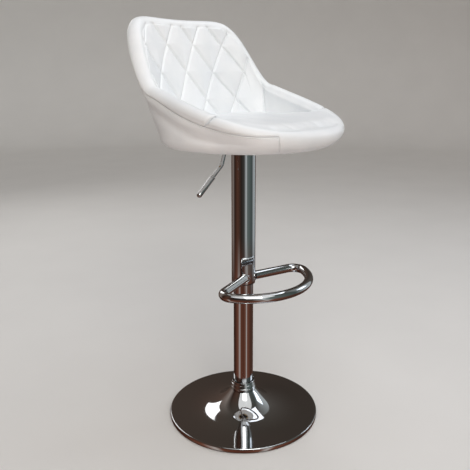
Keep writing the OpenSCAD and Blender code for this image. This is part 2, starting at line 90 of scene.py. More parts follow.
SEAT_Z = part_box("outer_cover")[0].z / MM      # underside of the seat
RIM_HALF_W, RIM_FRONT, RIM_BACK = 203.0, 210.0, 229.5
WAIST_HALF_W, WAIST_FRONT, WAIST_BACK = 211.5, 223.0, 149.5
ROLL_R = 18.0                                 # radius of the padded rim
FRONT_Z, BACK_Z, WAIST_Z = SEAT_Z + 34, SEAT_Z + 296, SEAT_Z + 27
CROWN_Z = SEAT_Z + 66
ARM_SLOPE, SWEEP_START, SWEEP_END = 0.305, 75.5, 240.0
BACK_DIP, DIP_HALF_W = 9.0, 150.0
UNDER_ROUND = 40.0
ROLL_DROP = 14.0                              # the wall's layers end this far below the rim's middle
ARM_START = math.radians(70)                  # where the front roll meets the arms' roll
JOINT_SLANT = math.radians(7)                 # that joint runs this far forwards on its way up the roll
PAD_LOW_Z = SEAT_Z + 50                       # lower edge of the quilted lining, under the cushion
JOINT_R = 200.0                               # mean radius there, to turn directions into millimetres
COVER_T = 3.8                                 # room that the lining and cushion leave for the outer cover
SEAM_PINCH = 1.5                              # how far the outer seam is drawn in
JOINT_PINCH, JOINT_PINCH_W = 1.6, 2.6         # depth and width of the tie where lining meets cushion
QUILT_FOOT_Z = SEAT_Z + 56.5                  # the quilting's heights up the wall are counted from here
QUILT_MID = 126.0                             # height up the wall of the middle row of crossings
QUILT_OFF_MIDDLE = 22.0                       # the pattern is sewn this far off the back's middle
QUILT_GROW = 5.0                              # each diamond is wider than the last by twice this
QUILT_PUFF, PUFF_W, GROOVE_W = 4.2, 17.0, 2.3 # pillow's height, its spread and a groove's half width


def oval(t, half_w, front, back, n_front, n_back):
    """Radius of an outline with its own depth and squareness in front and behind."""
    c = np.cos(t)
    n = np.where(c >= 0, n_front, n_back)
    depth = np.where(c >= 0, front, back)
    return (np.abs(np.sin(t) / half_w) ** n + np.abs(c / depth) ** n) ** (-1 / n)


def rim_r(t):
    return oval(t, RIM_HALF_W, RIM_FRONT, RIM_BACK, 2.6, 3.9)


def waist_r(t):
    return oval(t, WAIST_HALF_W, WAIST_FRONT, WAIST_BACK, 1.9, 2.53)


def smooth(s):
    s = np.clip(s, 0, 1)
    return s * s * (3 - 2 * s)


def rim_z(t):
    x, y = rim_r(t) * np.sin(t), -rim_r(t) * np.cos(t)
    arm = FRONT_Z + ARM_SLOPE * (np.minimum(y, SWEEP_START) + RIM_FRONT)
    top = BACK_Z - BACK_DIP * (1 - np.minimum(1, (x / DIP_HALF_W) ** 2))
    rise = smooth((y - SWEEP_START) / (SWEEP_END - SWEEP_START))
    full = smooth((RIM_BACK - SWEEP_START) / (SWEEP_END - SWEEP_START))
    return arm + (top - arm) * rise / full


def lean(t):
    return (rim_r(t) + ROLL_R - waist_r(t)) / (rim_z(t) - WAIST_Z)


def wall_r(t, z, inset):
    """Radius of the bucket's wall at height z, inset from its outer face."""
    slope = lean(t)
    return waist_r(t) + slope * (z - WAIST_Z) - inset * np.sqrt(1 + np.minimum(slope, 0.7) ** 2)


def edge_z(t):
    return np.maximum(rim_z(t) - ROLL_DROP, WAIST_Z + 1.5)


# height of the double-stitched seam over the rim's middle, by degrees from the front
SEAM_COURSE = ((0, 9), (20, 8), (30, 6), (40, 0), (50, -6), (60, -10), (70, -12), (80, -12), (90, -10), (100, -5),
               (110, -1), (120, 0), (130, -1), (150, -5), (180, -7))
PANEL = 29.0                                  # the front panel is sewn in between these directions
PANEL_DROP = 34.0                             # and reaches this far under the seam


def seam_z(t):
    """Height of the seam that runs round the outside; it drops round the front panel."""
    turn = np.degrees(np.abs((t + math.pi) % math.tau - math.pi))
    course = rim_z(t) + np.interp(turn, *zip(*SEAM_COURSE))
    return course - PANEL_DROP * (1 - smooth((turn - PANEL + 1.2) / 2.4))


def outer_r(t, z, inset=0.0):
    """Radius of the bucket's outside from its underside, up the wall and over the roll."""
    crest = rim_z(t)
    low = np.clip((WAIST_Z - z) / (WAIST_Z - SEAT_Z), 0, 1)
    under = waist_r(t) - UNDER_ROUND + UNDER_ROUND * np.sqrt(1 - low ** 2) - inset
    wall = wall_r(t, np.maximum(z, WAIST_Z), inset)
    plain_r = np.where(z < WAIST_Z, under, wall)
    # the front is one even round from the underside to the roll
    half = rim_r(t) + ROLL_R - waist_r(t) + UNDER_ROUND
    drop = np.clip((crest - z) / (crest - SEAT_Z), 0, 1)
    round_r = waist_r(t) - UNDER_ROUND + half * np.sqrt(1 - drop ** 2) - inset
    front = smooth((SEAT_Z + 72 - crest) / 30)
    r = plain_r + (round_r - plain_r) * front
    roll = rim_r(t) + np.sqrt(np.maximum((ROLL_R - inset) ** 2 - np.maximum(z - crest, 0) ** 2, 0))
    return np.where(z > crest, roll, r)


def place(t, r, z):
    """Points in metres from directions, radii and heights in millimetres."""
    return np.stack([r * np.sin(t), -r * np.cos(t), z + 0 * r], axis=-1) * MM


# ---------------------------------------------------------------------------
# Small tools
# ---------------------------------------------------------------------------

def deselect():
    if bpy.context.mode != "OBJECT":
        bpy.ops.object.mode_set(mode="OBJECT")
    bpy.ops.object.select_all(action="DESELECT")


def pick(obj):
    deselect()
    obj.select_set(True)
    bpy.context.view_layer.objects.active = obj


def apply_modifiers(obj):
    pick(obj)
    for modifier in list(obj.modifiers):
        bpy.ops.object.modifier_apply(modifier=modifier.name)


def finish_mesh(obj, angle=35, clean=True):
    """Merges doubles, turns the faces outwards, puts the place in the mesh and smooths the shading."""
    pick(obj)
    bpy.ops.object.transform_apply(location=True, rotation=True, scale=True)
    if clean:
        bpy.ops.object.mode_set(mode="EDIT")
        bpy.ops.mesh.select_all(action="SELECT")
        bpy.ops.mesh.remove_doubles(threshold=1e-6)
        bpy.ops.mesh.normals_make_consistent(inside=False)
        bpy.ops.object.mode_set(mode="OBJECT")
    bpy.ops.object.shade_smooth_by_angle(angle=math.radians(angle))
    deselect()
    return obj


def settle(obj, name, body, slot, material, *nodes):
    """Names a finished piece and ties it to its body, material and the nodes it stands for; the slot argument is not
    used.
    """
    obj.name = name
    obj.data.name = name
    obj.data.materials.clear()
    obj.data.materials.append(material)
    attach(obj, body)
    if nodes:
        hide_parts(*nodes)
    return obj


def grid_object(name, points, closed_u, closed_v):
    """Mesh from a grid of points; with an open u its two ends are capped."""
    nu, nv = points.shape[:2]
    faces = []
    for i in range(nu if closed_u else nu - 1):
        for j in range(nv if closed_v else nv - 1):
            a, b = i * nv + j, i * nv + (j + 1) % nv
            c, d = ((i + 1) % nu) * nv + (j + 1) % nv, ((i + 1) % nu) * nv + j
            faces.append((a, b, c, d))
    if not closed_u and closed_v:
        faces.append(tuple(range(nv - 1, -1, -1)))
        faces.append(tuple((nu - 1) * nv + j for j in range(nv)))
    mesh = bpy.data.meshes.new(name)
    mesh.from_pydata(points.reshape(-1, 3).tolist(), [], faces)
    mesh.update()
    obj = bpy.data.objects.new(name, mesh)
    bpy.context.scene.collection.objects.link(obj)
    return obj


def lathe(name, profile, sides=96):
    """Turned piece: a circle is extruded and resized from point to point of a closed profile in mm."""
    deselect()
    r0, z0 = profile[0]
    bpy.ops.mesh.primitive_circle_add(vertices=sides, radius=r0 * MM, location=(0, 0, 0))
    obj = bpy.context.object
    bpy.ops.object.mode_set(mode="EDIT")
    bpy.ops.mesh.select_all(action="SELECT")
    bpy.ops.transform.translate(value=(0, 0, z0 * MM))
    r, z = r0, z0
    for r1, z1 in list(profile[1:]) + [profile[0]]:
        bpy.ops.mesh.extrude_region_move(TRANSFORM_OT_translate={"value": (0, 0, (z1 - z) * MM)})
        if abs(r1 - r) > 1e-9:
            k = r1 / r
            bpy.ops.transform.resize(value=(k, k, 1), center_override=(0, 0, z1 * MM))
        r, z = r1, z1
    bpy.ops.object.mode_set(mode="OBJECT")
    return finish_mesh(obj, 32)


SPIN_STEP = 0.09                              # largest turn of one step of a bend, in radians


def bent_tube(name, start, heading, radius, path, axis, sides):
    """Rod drawn by extruding a circle along straight stretches (mm) and spinning it round bends
    (radians, mm). A positive bend turns by the right-hand rule about axis."""
    deselect()
    axis, heading, point = Vector(axis), Vector(heading).normalized(), Vector(start) * MM
    bpy.ops.mesh.primitive_circle_add(
        vertices=sides, radius=radius * MM, location=point, rotation=heading.to_track_quat("Z", "Y").to_euler())
    obj = bpy.context.object
    bpy.ops.object.transform_apply(location=True, rotation=True, scale=True)
    bpy.ops.object.mode_set(mode="EDIT")
    bpy.ops.mesh.select_all(action="SELECT")
    bpy.ops.mesh.edge_face_add()
    for step in path:
        if len(step) == 1:
            move = heading * step[0] * MM
            bpy.ops.mesh.extrude_region_move(TRANSFORM_OT_translate={"value": move})
            point = point + move
            continue
        angle, bend = step
        side = axis.cross(heading).normalized() * (bend * MM if angle > 0 else -bend * MM)
        centre = point + side
        bpy.ops.mesh.spin(
            steps=max(4, int(abs(angle) / SPIN_STEP)), angle=-angle,     # spin turns left-handed
            center=centre, axis=axis)
        turn = Matrix.Rotation(angle, 3, axis)
        point = centre + turn @ (point - centre)
        heading = turn @ heading
    bpy.ops.object.mode_set(mode="OBJECT")
    where = sum((v.co for v in obj.data.vertices if v.select), Vector()) / max(
        1, sum(v.select for v in obj.data.vertices))
    if (where - point).length > 0.002:
        raise RuntimeError(f"{name}: the bends ended at {tuple(where)} and not at {tuple(point)}")
    return obj


# ---------------------------------------------------------------------------
# Materials
# ---------------------------------------------------------------------------

def new_material(name):
    material = bpy.data.materials.new(name)
    material.use_nodes = True
    nodes = material.node_tree.nodes
    return material, material.node_tree, nodes["Principled BSDF"]


def add(tree, kind, settings=None, links=None, out=None):
    """Adds one node, sets its inputs or properties, and links it in and out."""
    node = tree.nodes.new(kind)
    for key, value in (settings or {}).items():
        if isinstance(key, str) and hasattr(node, key):
            setattr(node, key, value)
        else:
            node.inputs[key].default_value = value
    for key, source in (links or {}).items():
        tree.links.new(source, node.inputs[key])
    if out is not None:
        source, target = out
        tree.links.new(node.outputs[source], target)
    return node


def ramp(tree, source, stops, target=None):
    node = add(tree, "ShaderNodeValToRGB", links={"Fac": source})
    band = node.color_ramp
    while len(band.elements) < len(stops):
        band.elements.new(0.5)
    for element, (position, colour) in zip(band.elements, stops):
        element.position = position
        element.color = (*colour, 1)
    if target is not None:
        tree.links.new(node.outputs["Color"], target)
    return node


def leatherette(name, hex_colour, hex_shade, grain_mm=1.3, roughness=0.42):
    """PVC-coated upholstery cloth with an embossed pebble grain: soft broad highlights over fine pits."""
    material, tree, shader = new_material(name)
    coords = add(tree, "ShaderNodeTexCoord").outputs["Object"]
    shader.inputs["Roughness"].default_value = roughness
    shader.inputs["Specular IOR Level"].default_value = 0.42
    shader.inputs["Coat Weight"].default_value = 0.12
    shader.inputs["Coat Roughness"].default_value = 0.3
    cloudy = add(tree, "ShaderNodeTexNoise", {"Scale": 14.0, "Detail": 3.0}, {"Vector": coords})
    ramp(tree, cloudy.outputs["Fac"], [(0.35, linear(hex_shade)), (0.65, linear(hex_colour))],
         shader.inputs["Base Color"])
    # pebbles a millimetre or so across, drawn a little coarser than real so that they show
    pebbles = add(tree, "ShaderNodeTexVoronoi",
                  {"Scale": 1000.0 / grain_mm, "feature": "SMOOTH_F1", "Smoothness": 0.7}, {"Vector": coords})
    pores = add(tree, "ShaderNodeTexNoise", {"Scale": 420.0, "Detail": 4.0, "Roughness": 0.65}, {"Vector": coords})
    pebble_bump = add(tree, "ShaderNodeBump", {"Strength": 0.16, "Distance": 0.00035},
                      {"Height": pebbles.outputs["Distance"]})
    pore_bump = add(tree, "ShaderNodeBump", {"Strength": 0.12, "Distance": 0.0002},
                    {"Height": pores.outputs["Fac"], "Normal": pebble_bump.outputs["Normal"]})
    # slow hand-stretched waviness, a few centimetres long
    waves = add(tree, "ShaderNodeTexNoise", {"Scale": 22.0, "Detail": 2.0}, {"Vector": coords})
    add(tree, "ShaderNodeBump", {"Strength": 0.18, "Distance": 0.0014},
        {"Height": waves.outputs["Fac"], "Normal": pore_bump.outputs["Normal"]},
        ("Normal", shader.inputs["Normal"]))
    rough = add(tree, "ShaderNodeMapRange", {"To Min": roughness - 0.06, "To Max": roughness + 0.08},
                {"Value": pores.outputs["Fac"]})
    tree.links.new(rough.outputs["Result"], shader.inputs["Roughness"])
    return material


def metal(name, hex_colour, roughness, spread=0.04, grain=60.0, bump=0.0, stretch=(1, 1, 1)):
    """Bare or plated metal: metallic, with roughness that varies a little from polishing and handling."""
    material, tree, shader = new_material(name)
    coords = add(tree, "ShaderNodeTexCoord").outputs["Object"]
    placed = add(tree, "ShaderNodeMapping", {"Scale": stretch}, {"Vector": coords}).outputs["Vector"]
    shader.inputs["Base Color"].default_value = (*linear(hex_colour), 1)
    shader.inputs["Metallic"].default_value = 1.0
    marks = add(tree, "ShaderNodeTexNoise", {"Scale": grain, "Detail": 5.0, "Roughness": 0.6}, {"Vector": placed})
    rough = add(tree, "ShaderNodeMapRange",
                {"From Min": 0.3, "From Max": 0.7, "To Min": roughness, "To Max": roughness + spread},
                {"Value": marks.outputs["Fac"]})
    tree.links.new(rough.outputs["Result"], shader.inputs["Roughness"])
    if bump:
        add(tree, "ShaderNodeBump", {"Strength": 0.3, "Distance": bump}, {"Height": marks.outputs["Fac"]},
            ("Normal", shader.inputs["Normal"]))
    return material


def plain(name, hex_colour, hex_other, roughness, scale, bump, metallic=0.0):
    """Moulded, painted or cast surface: two close tones in noise, with a matching bump."""
    material, tree, shader = new_material(name)
    coords = add(tree, "ShaderNodeTexCoord").outputs["Object"]
    shader.inputs["Metallic"].default_value = metallic
    shader.inputs["Roughness"].default_value = roughness
    grain = add(tree, "ShaderNodeTexNoise", {"Scale": scale, "Detail": 6.0, "Roughness": 0.6}, {"Vector": coords})
    ramp(tree, grain.outputs["Fac"], [(0.3, linear(hex_other)), (0.7, linear(hex_colour))],
         shader.inputs["Base Color"])
    add(tree, "ShaderNodeBump", {"Strength": 0.35, "Distance": bump}, {"Height": grain.outputs["Fac"]},
        ("Normal", shader.inputs["Normal"]))
    return material


def plywood():
    """Birch plywood seat board: pale rings in long streaks, dry and matt."""
    material, tree, shader = new_material("birch plywood")
    coords = add(tree, "ShaderNodeTexCoord").outputs["Object"]
    stretched = add(tree, "ShaderNodeMapping", {"Scale": (1.0, 0.12, 1.0)}, {"Vector": coords}).outputs["Vector"]
    streaks = add(tree, "ShaderNodeTexNoise", {"Scale": 90.0, "Detail": 6.0, "Distortion": 1.5},
                  {"Vector": stretched})
    ramp(tree, streaks.outputs["Fac"], [(0.3, linear("A9835A")), (0.5, linear("C7A679")), (0.7, linear("D8BC93"))],
         shader.inputs["Base Color"])
    shader.inputs["Roughness"].default_value = 0.7
    add(tree, "ShaderNodeBump", {"Strength": 0.3, "Distance": 0.0003}, {"Height": streaks.outputs["Fac"]},
        ("Normal", shader.inputs["Normal"]))
    return material


# ---------------------------------------------------------------------------
# Sizes and colours that a user would change
# ---------------------------------------------------------------------------

class StoolSizes(bpy.types.PropertyGroup):
    quilt_width: FloatProperty(name="Quilt width", description="Width of one diamond at the middle of the back",
                               default=0.088, min=0.05, max=0.14, unit="LENGTH")
    quilt_height: FloatProperty(name="Quilt height", description="Height of one diamond on the back",
                                default=0.148, min=0.08, max=0.2, unit="LENGTH")
    quilt_depth: FloatProperty(name="Quilt depth", description="How far a quilting seam pulls into the pad",
                               default=0.0048, min=0.0, max=0.01, unit="LENGTH")
    stitch_pitch: FloatProperty(name="Stitch pitch", description="Distance from one stitch to the next",
                                default=0.0052, min=0.003, max=0.01, unit="LENGTH")
    thread: FloatProperty(name="Thread", description="Thickness of the sewing thread",
                          default=0.0011, min=0.0005, max=0.002, unit="LENGTH")
    crown_puff: FloatProperty(name="Cushion puff", description="Most that the cushion swells over its foam",
                              default=0.006, min=0.0, max=0.012, unit="LENGTH")


class StoolColours(bpy.types.PropertyGroup):
    leather: FloatVectorProperty(name="Leatherette", description="Colour of the upholstery", subtype="COLOR",
                                 default=linear("F1F3F4"), min=0, max=1)
    floor: FloatVectorProperty(name="Floor", description="Colour of the studio floor", subtype="COLOR",
                               default=linear("E4E2DF"), min=0, max=1)


MATERIALS = {}


class STOOL_OT_materials(bpy.types.Operator):
    """Make the finishes and give one to every carried-over part"""
    bl_idname = "stool.materials"
    bl_label = "Finishes"

    def execute(self, context):
        made = MATERIALS
        made["leather"] = leatherette("white PVC leatherette", "F0F2F3", "E9ECEE")
        made["thread"] = plain("white polyester thread", "EDEDEA", "D9D9D4", 0.55, 900.0, 0.0002)
        # bright nickel-chrome plate: near mirror, faint handling marks
        made["chrome"] = metal("polished chrome plate", "C9CBCC", 0.035, 0.05, 35.0)
        made["chrome_tube"] = metal("chromed steel tube", "C6C8CA", 0.03, 0.05, 50.0, 0.0, (1, 1, 0.15))
        # zinc plate on bolts and small steel parts: greyer, softer, slightly crystalline
        made["zinc"] = metal("zinc-plated steel", "A9ADB0", 0.28, 0.15, 300.0, 0.0001)
        # ground hard steel inside the gas lift
        made["steel"] = metal("ground steel", "B4B4B2", 0.18, 0.1, 400.0, 0.00005, (1, 1, 0.05))
        # powder coat: satin black with a fine orange peel
        made["coat"] = plain("black powder-coated steel", "17181A", "101112", 0.38, 700.0, 0.0003)
        made["black_plastic"] = plain("black moulded plastic", "121212", "0C0C0C", 0.42, 500.0, 0.0002)
        made["rubber"] = plain("black floor rubber", "1A1A1A", "131313", 0.72, 350.0, 0.0004)
        made["iron"] = plain("sand-cast iron", "3C3B39", "2A2928", 0.65, 260.0, 0.0009, 0.6)
        made["shell"] = plain("moulded polypropylene shell", "B9B3A6", "AFA99C", 0.5, 300.0, 0.0003)
        made["ply"] = plywood()
        finish = {
            "chrome": "chrome", "leatherette": "leather", "black_plastic": "black_plastic",
            "floor_rubber": "rubber", "cast_iron": "iron", "black_steel": "coat",
            "zinc_steel": "zinc", "plywood": "ply", "shell_plastic": "shell",
        }
        for name, obj in frame["nodes"].items():
            # the frame names each part's material after its slot
            slot = next(s for s in finish if obj.data.materials[0].name.startswith(s))
            key = finish[slot]
            if name in ("piston_rod", "bearing_balls", "lower_race", "upper_race"):
                key = "steel"
            obj.data.materials.clear()
            obj.data.materials.append(made[key])
        return {"FINISHED"}


# ---------------------------------------------------------------------------
# Metalwork
# ---------------------------------------------------------------------------

class STOOL_OT_base(bpy.types.Operator):
    """Spun trumpet base and its stepped collar"""
    bl_idname = "stool.base"
    bl_label = "Base"

    def execute(self, context):
        low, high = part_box("base_shell")
        rim, edge, neck_r, neck_z = high.x / MM, 12.0, 32.0, high.z / MM
        steps = 44
        flare = [(rim - 1.6 - (rim - 1.6 - neck_r) * i / steps) for i in range(steps + 1)]
        height = [edge + (neck_z - edge) * ((rim - r) / (rim - neck_r)) ** 4 for r in flare]
        profile = [(rim - 2.2, 2.2), (rim - 0.9, 2.0), (rim - 0.25, 2.5), (rim, 3.6), (rim, edge - 2.2),
                   (rim - 0.3, edge - 1.0), (rim - 0.9, edge - 0.25)]
        profile += list(zip(flare, height))
        profile += [(r, z - 1.8) for r, z in list(zip(flare, height))[::-6]]
        profile += [(rim - 2.2, edge - 2.4)]
        dish = lathe("base_dish", profile, 160)
        settle(dish, "base_dish", "root", "chrome", MATERIALS["chrome"], "base_shell")

        low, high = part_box("collar_trim")
        z0, z1, r = low.z / MM, high.z / MM, 32.3
        inner = 25.3
        profile = [(inner, z0), (r - 0.6, z0), (r, z0 + 0.6), (r, z0 + 7.4), (r - 0.3, z0 + 8.4), (r - 1.2, z0 + 9.0),
                   (r - 1.5, z0 + 9.6), (r - 1.6, z0 + 16.4), (r - 1.9, z0 + 17.2), (r - 2.7, z0 + 17.7),
                   (r - 3.0, z0 + 18.4), (r - 3.0, z1 - 1.6), (r - 3.3, z1 - 0.6), (r - 4.0, z1),
                   (inner + 2.4, z1), (inner + 1.8, z1 - 0.5), (inner + 1.8, z1 - 4), (inner, z1 - 4.2)]
        collar = lathe("collar_rings", profile, 96)
        settle(collar, "collar_rings", "root", "chrome", MATERIALS["chrome"], "collar_trim")
        return {"FINISHED"}


class STOOL_OT_column(bpy.types.Operator):
    """Fixed stand tube and the cover tube that slides over it"""
    bl_idname = "stool.column"
    bl_label = "Column"

    def execute(self, context):
        low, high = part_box("stand_tube")
        r, z0, z1 = high.x / MM, low.z / MM, high.z / MM
        profile = [(r - 2, z0), (r - 0.4, z0), (r, z0 + 0.4)] + [(r, z0 + (z1 - z0) * k / 12) for k in range(1, 12)]
        profile += [(r, z1 - 0.8), (r - 0.5, z1 - 0.1), (r - 2, z1)]
        tube = lathe("stand_tube_chromed", profile, 96)
        settle(tube, "stand_tube_chromed", frame_body("stand_tube"), "chrome", MATERIALS["chrome_tube"], "stand_tube")

        low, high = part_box("cover_tube")
        r, z0, z1 = high.x / MM, low.z / MM, high.z / MM
        profile = [(r - 1.2, z0 + 0.4), (r - 0.95, z0), (r - 0.55, z0 + 0.1), (r - 0.25, z0 + 0.7),
                   (r - 0.08, z0 + 1.8), (r, z0 + 3.5)]
        profile += [(r, z0 + (z1 - z0) * k / 10) for k in range(1, 10)]
        profile += [(r, z1 - 0.3), (r - 0.3, z1), (r - 1.2, z1)]
        tube = lathe("cover_tube_chromed", profile, 96)
        settle(tube, "cover_tube_chromed", frame_body("cover_tube"), "chrome", MATERIALS["chrome_tube"], "cover_tube")
        return {"FINISHED"}


def frame_body(node):
    """The body that a node rides on."""
    return frame["nodes"][node]["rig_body"]


class STOOL_OT_footrest(bpy.types.Operator):
    """Bent footrest loop with its weld beads"""
    bl_idname = "stool.footrest"
    bl_label = "Footrest"

    def execute(self, context):
        low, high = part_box("footrest")
        radius = (high.z - low.z) / 2 / MM
        z = (high.z + low.z) / 2 / MM
        arm = math.radians(16)
        half_w, reach, bend, y0 = 139.0, 168.0, 27.0, -14.5
        corner_x = half_w - bend
        corner_y = y0 - corner_x * math.tan(arm) - bend / math.cos(arm)
        front_r = (corner_x ** 2 + (reach + corner_y) ** 2 - bend ** 2) / (2 * (reach + corner_y - bend))
        half = math.atan2(corner_x, front_r - reach - corner_y)
        heading = Vector((math.cos(arm), -math.sin(arm), 0))
        start = Vector((20.0, y0 - 20.0 * math.tan(arm), z))
        end = Vector((corner_x + bend * math.sin(arm), corner_y + bend * math.cos(arm), z))
        length = (end - start).length
        turn = math.pi - arm - half
        path = [(length,), (-turn, bend), (-2 * half, front_r), (-turn, bend), (length,)]
        bar = bent_tube("footrest_bar", start, heading, radius, path, (0, 0, 1), 40)
        finish_mesh(bar, 40)
        settle(bar, "footrest_bar", frame_body("footrest"), "chrome", MATERIALS["chrome"], "footrest")

        # a thin polished bead runs round each arm where it is welded to the tube
        tube_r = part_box("cover_tube")[1].x / MM
        for side, word in ((1, "right"), (-1, "left")):
            across = Vector((math.sin(arm), math.cos(arm), 0))
            origin = Vector((0, y0, z))
            points = []
            for k in range(48):
                a = k * math.tau / 48
                ring = across * ((radius + 0.6) * math.cos(a)) + Vector((0, 0, (radius + 0.6) * math.sin(a)))
                p = origin + ring
                b = p.x * heading.x + p.y * heading.y
                c = p.x ** 2 + p.y ** 2 - (tube_r + 0.3) ** 2
                s = -b + math.sqrt(max(0.0, b * b - c))
                q = p + heading * s
                points.append(((side * q.x) * MM, q.y * MM, q.z * MM))
            bead = ring_bead(f"weld_bead_{word}", points, 1.5, 8)
            finish_mesh(bead, 60)
            settle(bead, f"weld_bead_{word}", frame_body("footrest"), "chrome", MATERIALS["chrome"])
        return {"FINISHED"}


def ring_bead(name, points, radius, sides):
    """Round bead on a closed loop of points in metres, drawn as a bevelled curve and made a mesh."""
    curve = bpy.data.curves.new(name, "CURVE")
    curve.dimensions = "3D"
    curve.bevel_depth = radius * MM
    curve.bevel_resolution = max(1, sides // 4)
    spline = curve.splines.new("POLY")
    spline.points.add(len(points) - 1)
    for p, co in zip(spline.points, points):
        p.co = (*co, 1)
    spline.use_cyclic_u = True
    obj = bpy.data.objects.new(name, curve)
    bpy.context.scene.collection.objects.link(obj)
    pick(obj)
    bpy.ops.object.convert(target="MESH")
    return bpy.context.object


class STOOL_OT_lever(bpy.types.Operator):
    """Release lever with its sleeve"""
    bl_idname = "stool.lever"
    bl_label = "Lever"

    def execute(self, context):
        pivot_z = SEAT_Z - 14 + 8.2
        corners = [Vector((-38, 0, pivot_z)), Vector((-64.5, 0, pivot_z - 1.6)),
                   Vector((-75.5, 0, pivot_z - 34.4)), Vector((-150, 0, pivot_z - 96))]
        bends = [9.0, 26.0]
        lengths = [(b - a).length for a, b in zip(corners[:-1], corners[1:])]
        headings = [(b - a).normalized() for a, b in zip(corners[:-1], corners[1:])]
        axis = Vector((0, 1, 0))
        path, cut_before = [], 0.0
        for i, bend in enumerate(bends):
            turn = headings[i].cross(headings[i + 1]).dot(axis)
            angle = math.copysign(headings[i].angle(headings[i + 1]), turn)
            cut = bend * math.tan(abs(angle) / 2)
            path += [(lengths[i] - cut_before - cut,), (angle, bend)]
            cut_before = cut
        path.append((lengths[-1] - cut_before,))
        rod = bent_tube("lever_rod", corners[0], headings[0], 4.5, path, axis, 32)
        finish_mesh(rod, 40)
        settle(rod, "lever_rod", "lever", "chrome", MATERIALS["chrome"])

        along = headings[2]
        grip_len = 0.6 * lengths[2]
        mouth = 6.25
        profile = [(4.55, 0.2), (5.2, 0.0), (mouth - 0.5, 0.25), (mouth - 0.1, 0.8), (mouth, 1.6),
                   (mouth, 5.0), (mouth - 0.35, 5.5), (mouth - 0.35, 6.3), (mouth, 6.8),
                   (mouth, grip_len * 0.5), (mouth, grip_len)]
        profile += [(mouth * math.cos(a), grip_len + mouth * math.sin(a))
                    for a in (k * math.pi / 16 for k in range(1, 8))]
        profile += [(0.05, grip_len + mouth), (0.05, grip_len), (4.55, grip_len)]
        grip = lathe("lever_sleeve", profile, 48)
        turn = along.to_track_quat("Z", "Y").to_matrix().to_4x4()
        grip.matrix_world = Matrix.Translation((corners[3] - along * grip_len) * MM) @ turn
        finish_mesh(grip, 40)
        settle(grip, "lever_sleeve", "lever", "chrome", MATERIALS["chrome"], "lever_grip")
        return {"FINISHED"}


# ---------------------------------------------------------------------------
# Upholstery
# ---------------------------------------------------------------------------

def quilt_index(arc, width):
    """Number of diamonds from the back's middle to an arc length in mm; they widen towards the arms."""
    k = (-width + np.sqrt(width ** 2 + 4 * QUILT_GROW * np.abs(arc))) / (2 * QUILT_GROW)
    return np.sign(arc) * k


def quilt_lines(k, drop, height):
    """Distance in diamonds to the nearest seam of each leaning family, with unsewn places far off."""
    lines = []
    for value, mirror in ((k - drop / height, 1), (k + drop / height, -1)):
        nearest = np.round(value)
        side = nearest * mirror
        unsewn = (side > 2.5) | (side < -3.5) | ((side > 1.5) & (k * mirror > 2.05))
        lines.append(np.where(unsewn, 9.0, np.abs(value - nearest)))
    return lines


